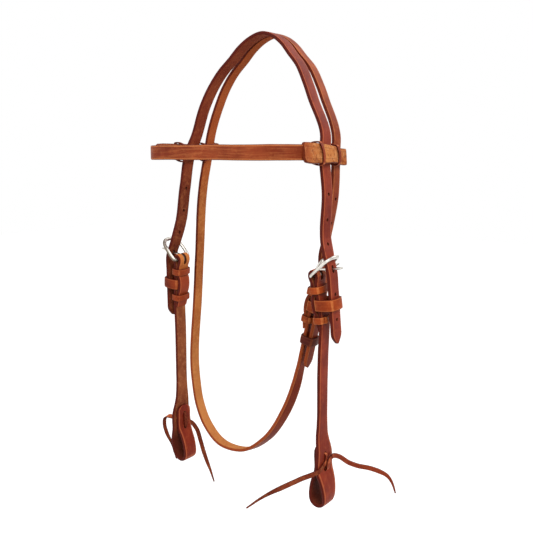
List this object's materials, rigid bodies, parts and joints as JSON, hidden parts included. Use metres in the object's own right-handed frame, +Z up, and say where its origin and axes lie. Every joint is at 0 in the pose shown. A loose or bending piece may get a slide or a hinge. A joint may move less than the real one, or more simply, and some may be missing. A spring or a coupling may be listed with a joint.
{
  "type": "western headstall",
  "caption": "Russet harness leather western headstall: buckled crown, straight browband, throatlatch and lace-tied bit loops, nickel horseshoe buckles",
  "frame": {"origin": "underside of the crown strap at the middle of the poll, where it rests on the horse's neck", "axes": "+Z up along the headstall's length, +X to the near (left) side of the horse, -Y to the horse's forehead"},
  "size_m": [0.2684, 0.1315, 0.5228],
  "materials": {
    "strap_leather": "smooth oiled harness leather, edges dyed dark",
    "band_leather": "smooth oiled harness leather, a lighter russet, fine grain along the strap",
    "keeper_leather": "thin bent leather bands, tan at the corners",
    "lace_leather": "soft cut lace, waxed",
    "nickel": "bright nickel plate, lightly tarnished"
  },
  "bodies": {
    "headstall": {"crown_strap": "strap_leather", "cheek_strap_near": "strap_leather", "cheek_strap_off": "strap_leather", "cheek_upper_keeper_near": "keeper_leather", "cheek_billet_keeper_near": "keeper_leather", "cheek_lower_keeper_near": "keeper_leather", "cheek_upper_keeper_off": "keeper_leather", "cheek_billet_keeper_off": "keeper_leather", "cheek_lower_keeper_off": "keeper_leather", "bit_lace_near": "lace_leather", "bit_lace_off": "lace_leather", "bit_lace_near_front_tail": "lace_leather", "bit_lace_near_rear_tail": "lace_leather", "bit_lace_off_front_tail": "lace_leather", "bit_lace_off_rear_tail": "lace_leather"},
    "browband_slide": {"browband": "band_leather", "browband_lace_near": "lace_leather", "browband_lace_off": "lace_leather"},
    "throatlatch": {"throatlatch_strap": "strap_leather", "throat_upper_keeper": "keeper_leather", "throat_billet_keeper": "keeper_leather", "throat_lower_keeper": "keeper_leather"},
    "cheek_frame_near": {"cheek_buckle_near": "nickel"},
    "cheek_frame_off": {"cheek_buckle_off": "nickel"},
    "throat_frame": {"throat_buckle": "nickel"},
    "cheek_tongue_near": {"cheek_tongue_near": "nickel"},
    "cheek_tongue_off": {"cheek_tongue_off": "nickel"},
    "throat_tongue": {"throat_tongue": "nickel"},
    "running_loop": {"throat_running_loop": "keeper_leather"}
  },
  "joints": [
    {"name": "browband_travel", "type": "slide", "parent": "headstall", "child": "browband_slide", "axis": [0, 0, 1], "range_m": [-0.002, 0.002]},
    {"name": "throatlatch_swing", "type": "hinge", "parent": "headstall", "child": "throatlatch", "pos_m": [0, 0.0155, 0.00185], "axis": [-1, 0, 0], "range_deg": [-0.6, 0.2]},
    {"name": "cheek_frame_near_turn", "type": "hinge", "parent": "headstall", "child": "cheek_frame_near", "pos_m": [0.0905, -0.0363, -0.23845], "axis": [0, 0.9976, 0.0698], "range_deg": [0, 10]},
    {"name": "cheek_frame_off_turn", "type": "hinge", "parent": "headstall", "child": "cheek_frame_off", "pos_m": [-0.0905, -0.0363, -0.23845], "axis": [0, -0.9976, -0.0698], "range_deg": [0, 10]},
    {"name": "throat_frame_turn", "type": "hinge", "parent": "throatlatch", "child": "throat_frame", "pos_m": [0.0715, -0.0047, -0.24845], "axis": [0, 1, 0], "range_deg": [0, 10]},
    {"name": "cheek_tongue_near_turn", "type": "hinge", "parent": "headstall", "child": "cheek_tongue_near", "pos_m": [0.0905, -0.0363, -0.23845], "axis": [0, 0.9976, 0.0698], "range_deg": [-3, 3]},
    {"name": "cheek_tongue_off_turn", "type": "hinge", "parent": "headstall", "child": "cheek_tongue_off", "pos_m": [-0.0905, -0.0363, -0.23845], "axis": [0, -0.9976, -0.0698], "range_deg": [-3, 3]},
    {"name": "throat_tongue_turn", "type": "hinge", "parent": "throatlatch", "child": "throat_tongue", "pos_m": [0.0715, -0.0047, -0.24845], "axis": [0, 1, 0], "range_deg": [-3, 3]},
    {"name": "running_loop_travel", "type": "slide", "parent": "throatlatch", "child": "running_loop", "axis": [-0.225, 0, -0.9744], "range_m": [-0.006, 0.008]}
  ]
}
